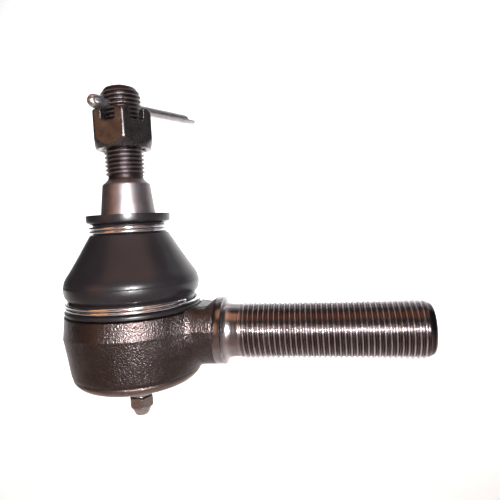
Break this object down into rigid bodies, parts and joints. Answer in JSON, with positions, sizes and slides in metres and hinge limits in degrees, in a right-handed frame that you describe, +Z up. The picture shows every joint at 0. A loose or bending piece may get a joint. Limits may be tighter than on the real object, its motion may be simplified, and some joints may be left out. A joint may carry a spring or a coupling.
{
  "type": "tie rod end",
  "caption": "Steering ball joint: a forged socket with a threaded shank, a tapered stud with castle nut and split pin, a rubber dust boot held by wire rings, and a grease nipple.",
  "frame": {"origin": "centre of the ball, on the axis of the threaded shank, which is how the joint is held and where a tie rod's length is measured to", "axes": "+Z up the ball stud towards its nut, +X along the threaded shank away from the socket, +Y completes the right-handed set"},
  "size_m": [0.1094, 0.0483, 0.1026],
  "materials": {
    "forged_steel": "shot-blasted forging, oiled dark brown-grey, with a bright machined shank",
    "ground_steel": "turned and ground, satin",
    "black_oxide": "black oxide, satin gloss",
    "zinc_plate": "bright zinc plate",
    "ring_wire": "bright drawn wire",
    "spring_steel": "oiled spring steel",
    "black_rubber": "moulded black rubber, satin with a soft shine",
    "seat_nylon": "natural acetal",
    "cover_steel": "pressed steel, satin",
    "nipple_steel": "plated steel, dulled"
  },
  "bodies": {
    "housing": {"socket_housing": "forged_steel", "upper_ball_seat": "seat_nylon", "end_cover": "cover_steel", "cover_seal": "black_rubber", "preload_spring": "spring_steel", "grease_nipple": "nipple_steel", "nipple_spring": "spring_steel", "boot_lower_ring": "ring_wire"},
    "boot": {"dust_boot": "black_rubber"},
    "boot_top": {"boot_upper_ring": "ring_wire"},
    "stud": {"ball_stud": "ground_steel", "castle_nut": "black_oxide", "cotter_pin": "zinc_plate"},
    "lower_seat": {"lower_ball_seat": "seat_nylon", "pressure_plate": "spring_steel"},
    "check_ball": {"nipple_check_ball": "spring_steel"}
  },
  "joints": [
    {"name": "stud_swing", "type": "hinge", "parent": "housing", "child": "boot", "pos_m": [0, 0, 0], "axis": [0, 1, 0], "range_deg": [-20, 20], "deforming": ["dust_boot"]},
    {"name": "stud_tilt", "type": "hinge", "parent": "boot", "child": "boot_top", "pos_m": [0, 0, 0], "axis": [1, 0, 0], "range_deg": [-20, 20], "deforming": ["dust_boot"]},
    {"name": "stud_spin", "type": "hinge", "parent": "boot_top", "child": "stud", "pos_m": [0, 0, 0], "axis": [0, 0, 1], "continuous": true},
    {"name": "seat_take_up", "type": "slide", "parent": "housing", "child": "lower_seat", "axis": [0, 0, 1], "range_m": [-0.0005, 0], "stiffness_N_per_m": 2000, "springref_m": 0.001, "deforming": ["preload_spring"]},
    {"name": "check_ball_lift", "type": "slide", "parent": "housing", "child": "check_ball", "axis": [0, 0, 1], "range_m": [0, 0.0008], "stiffness_N_per_m": 50, "springref_m": -0.002, "deforming": ["nipple_spring"]}
  ]
}
